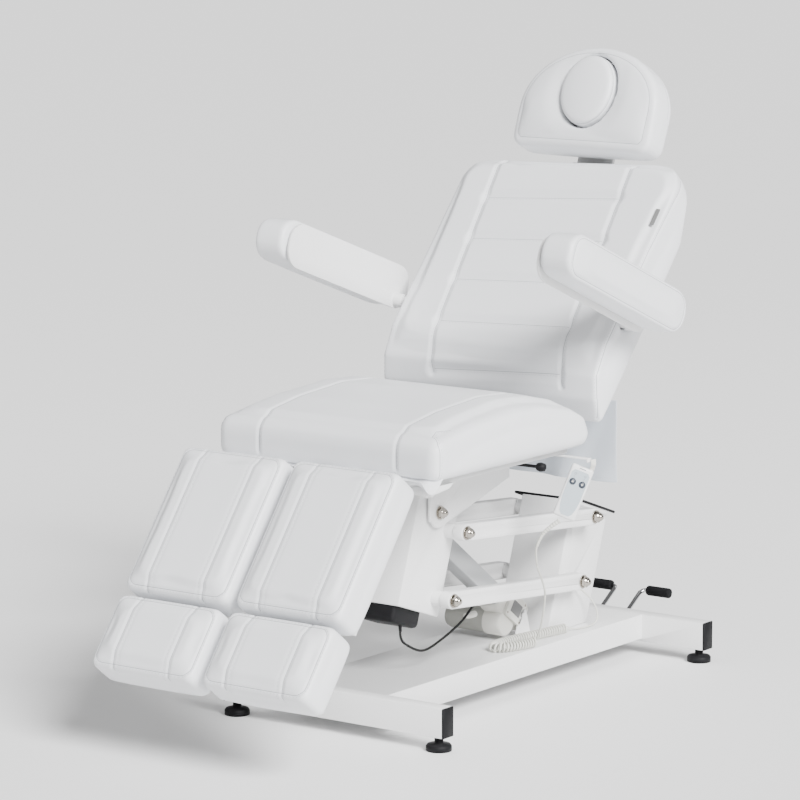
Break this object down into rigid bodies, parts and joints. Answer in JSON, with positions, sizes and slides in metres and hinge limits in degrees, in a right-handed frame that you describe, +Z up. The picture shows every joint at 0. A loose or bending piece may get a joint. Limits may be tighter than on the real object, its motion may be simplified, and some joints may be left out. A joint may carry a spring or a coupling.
{
  "type": "facial treatment bed",
  "caption": "Electric lift treatment bed with reclining back, face-hole headrest, swing armrests and split leg rests.",
  "frame": {"origin": "on the floor, at the middle of the overall length and width", "axes": "+Z up; +Y from the feet towards the head; +X towards the occupant's left"},
  "size_m": [0.89, 1.7326, 1.4754],
  "materials": {
    "white_leather": "satin",
    "white_powder_coat": "satin",
    "black_plastic": "matte",
    "stainless_steel": "satin",
    "chrome": "polished",
    "grey_aluminium": "satin",
    "cream_plastic": "satin",
    "backing_board": "matte",
    "button_grey": "satin"
  },
  "bodies": {
    "base": {"base_frame": "white_powder_coat", "column": "white_powder_coat", "end_cap_front_left": "black_plastic", "end_cap_front_right": "black_plastic", "end_cap_rear_left": "black_plastic", "end_cap_rear_right": "black_plastic", "shaft_lower_rear": "stainless_steel", "shaft_upper_rear": "stainless_steel"},
    "actuator": {"actuator_motor": "cream_plastic", "actuator_tube": "grey_aluminium"},
    "actuator_rod": {"actuator_rod": "stainless_steel"},
    "armrest_left": {"armrest_pad_left": "white_leather", "armrest_plate_left": "white_powder_coat"},
    "armrest_right": {"armrest_pad_right": "white_leather", "armrest_plate_right": "white_powder_coat"},
    "backrest": {"backrest_board": "backing_board", "backrest_cushion": "white_leather", "backrest_frame": "white_powder_coat"},
    "button_down": {"button_down": "button_grey"},
    "button_up": {"button_up": "button_grey"},
    "carriage": {"carriage": "white_powder_coat", "control_box": "black_plastic", "shaft_lower_front": "stainless_steel", "shaft_seat_tilt": "stainless_steel", "shaft_upper_front": "stainless_steel"},
    "face_plug": {"face_plug": "white_leather"},
    "foot_pad_left": {"foot_pad_left": "white_leather", "foot_slide_left": "white_powder_coat"},
    "foot_pad_right": {"foot_pad_right": "white_leather", "foot_slide_right": "white_powder_coat"},
    "gas_rod": {"gas_spring_rod": "stainless_steel"},
    "gas_spring": {"gas_spring_cylinder": "black_plastic"},
    "handset": {"handset_body": "white_powder_coat"},
    "headrest": {"headrest_bracket": "backing_board", "headrest_cushion": "white_leather"},
    "headrest_posts": {"headrest_posts": "stainless_steel"},
    "leg_left": {"calf_pad_left": "white_leather", "leg_frame_left": "white_powder_coat"},
    "leg_right": {"calf_pad_right": "white_leather", "leg_frame_right": "white_powder_coat"},
    "levelling_foot_front_left": {"levelling_foot_front_left": "black_plastic"},
    "levelling_foot_front_right": {"levelling_foot_front_right": "black_plastic"},
    "levelling_foot_rear_left": {"levelling_foot_rear_left": "black_plastic"},
    "levelling_foot_rear_right": {"levelling_foot_rear_right": "black_plastic"},
    "lower_arms": {"lower_arm_left": "white_powder_coat", "lower_arm_right": "white_powder_coat"},
    "pedal_left": {"pedal_left_grip": "black_plastic", "pedal_left_lever": "chrome"},
    "pedal_right": {"pedal_right_grip": "black_plastic", "pedal_right_lever": "chrome"},
    "release_knob": {"release_knob": "black_plastic"},
    "seat": {"back_pivot_bracket": "white_powder_coat", "handset_hook": "white_powder_coat", "leg_pivot_bracket": "white_powder_coat", "rear_apron": "white_leather", "seat_board": "backing_board", "seat_bracket": "white_powder_coat", "seat_cushion": "white_leather"},
    "upper_arms": {"upper_arm_left": "white_powder_coat", "upper_arm_right": "white_powder_coat"}
  },
  "joints": [
    {"name": "lift", "type": "hinge", "parent": "base", "child": "lower_arms", "pos_m": [0, 0.45202, 0.22303], "axis": [-1, 0, 0], "range_deg": [-6, 25]},
    {"name": "upper_arm_swing", "type": "hinge", "parent": "base", "child": "upper_arms", "pos_m": [0, 0.50346, 0.37242], "axis": [-1, 0, 0], "range_deg": [-6, 25]},
    {"name": "carriage_level", "type": "hinge", "parent": "lower_arms", "child": "carriage", "pos_m": [0, -0.08111, 0.26779], "axis": [-1, 0, 0], "range_deg": [-25, 6]},
    {"name": "actuator_swing", "type": "hinge", "parent": "base", "child": "actuator", "pos_m": [0, 0.3318, 0.15], "axis": [-1, 0, 0], "range_deg": [-5.6, 23.2]},
    {"name": "actuator_stroke", "type": "slide", "parent": "actuator", "child": "actuator_rod", "axis": [0, -0.8042, 0.5944], "range_m": [-0.0295, 0.1215]},
    {"name": "seat_tilt", "type": "hinge", "parent": "carriage", "child": "seat", "pos_m": [0, -0.0812, 0.468], "axis": [-1, 0, 0], "range_deg": [0, 7]},
    {"name": "backrest_recline", "type": "hinge", "parent": "seat", "child": "backrest", "pos_m": [0, 0.2478, 0.66], "axis": [-1, 0, 0], "range_deg": [-10, 48], "deforming": ["rear_apron"]},
    {"name": "gas_spring_swing", "type": "hinge", "parent": "seat", "child": "gas_spring", "pos_m": [0, -0.0182, 0.515], "axis": [-1, 0, 0], "range_deg": [-1, 3.5]},
    {"name": "gas_spring_stroke", "type": "slide", "parent": "gas_spring", "child": "gas_rod", "axis": [0, 0.9404, 0.34], "range_m": [-0.046, 0.01]},
    {"name": "headrest_height", "type": "slide", "parent": "backrest", "child": "headrest_posts", "axis": [0, 0.66, 0.7513], "range_m": [0, 0.06]},
    {"name": "headrest_tilt", "type": "hinge", "parent": "headrest_posts", "child": "headrest", "pos_m": [0, 0.6638, 1.183], "axis": [1, 0, 0], "range_deg": [-20, 15]},
    {"name": "face_plug_pull", "type": "slide", "parent": "headrest", "child": "face_plug", "axis": [0, -0.9191, 0.3939], "range_m": [0, 0.09]},
    {"name": "armrest_swing_left", "type": "hinge", "parent": "backrest", "child": "armrest_left", "pos_m": [0, 0.3368, 0.875], "axis": [-1, 0, 0], "range_deg": [-22, 65]},
    {"name": "leg_lift_left", "type": "hinge", "parent": "seat", "child": "leg_left", "pos_m": [0, -0.3932, 0.585], "axis": [-1, 0, 0], "range_deg": [0, 50]},
    {"name": "foot_extend_left", "type": "slide", "parent": "leg_left", "child": "foot_pad_left", "axis": [0, -0.6129, -0.7902], "range_m": [0, 0.08]},
    {"name": "pedal_press_left", "type": "hinge", "parent": "base", "child": "pedal_left", "pos_m": [0, 0.7598, 0.077], "axis": [-1, 0, 0], "range_deg": [0, 12]},
    {"name": "armrest_swing_right", "type": "hinge", "parent": "backrest", "child": "armrest_right", "pos_m": [0, 0.3368, 0.875], "axis": [-1, 0, 0], "range_deg": [-22, 65]},
    {"name": "leg_lift_right", "type": "hinge", "parent": "seat", "child": "leg_right", "pos_m": [0, -0.3932, 0.585], "axis": [-1, 0, 0], "range_deg": [0, 50]},
    {"name": "foot_extend_right", "type": "slide", "parent": "leg_right", "child": "foot_pad_right", "axis": [0, -0.6129, -0.7902], "range_m": [0, 0.08]},
    {"name": "pedal_press_right", "type": "hinge", "parent": "base", "child": "pedal_right", "pos_m": [0, 0.7598, 0.077], "axis": [-1, 0, 0], "range_deg": [0, 12]},
    {"name": "foot_turn_front_left", "type": "hinge", "parent": "base", "child": "levelling_foot_front_left", "pos_m": [0.284, -0.3602, 0], "axis": [0, 0, 1], "continuous": true},
    {"name": "foot_turn_front_right", "type": "hinge", "parent": "base", "child": "levelling_foot_front_right", "pos_m": [-0.284, -0.3602, 0], "axis": [0, 0, 1], "continuous": true},
    {"name": "foot_turn_rear_left", "type": "hinge", "parent": "base", "child": "levelling_foot_rear_left", "pos_m": [0.284, 0.7238, 0], "axis": [0, 0, 1], "continuous": true},
    {"name": "foot_turn_rear_right", "type": "hinge", "parent": "base", "child": "levelling_foot_rear_right", "pos_m": [-0.284, 0.7238, 0], "axis": [0, 0, 1], "continuous": true},
    {"name": "handset_unhook", "type": "slide", "parent": "seat", "child": "handset", "axis": [0.2161, 0.3401, 0.9152], "range_m": [0, 0.008]},
    {"name": "button_up_press", "type": "slide", "parent": "handset", "child": "button_up", "axis": [-0.5831, 0.7968, -0.1584], "range_m": [0, 0.0012], "stiffness_N_per_m": 600},
    {"name": "button_down_press", "type": "slide", "parent": "handset", "child": "button_down", "axis": [-0.5831, 0.7968, -0.1584], "range_m": [0, 0.0012], "stiffness_N_per_m": 600},
    {"name": "release_knob_pull", "type": "slide", "parent": "seat", "child": "release_knob", "axis": [1, 0, 0], "range_m": [0, 0.012], "stiffness_N_per_m": 500}
  ],
  "couplings": [
    {"joint": "upper_arm_swing", "follows": "lift", "ratio": 1},
    {"joint": "carriage_level", "follows": "lift", "ratio": -1},
    {"joint": "actuator_swing", "follows": "lift", "ratio": 0.925},
    {"joint": "actuator_stroke", "follows": "lift", "m_per_rad": 0.277},
    {"joint": "gas_spring_swing", "follows": "backrest_recline", "ratio": 0.07},
    {"joint": "gas_spring_stroke", "follows": "backrest_recline", "m_per_rad": -0.054}
  ]
}
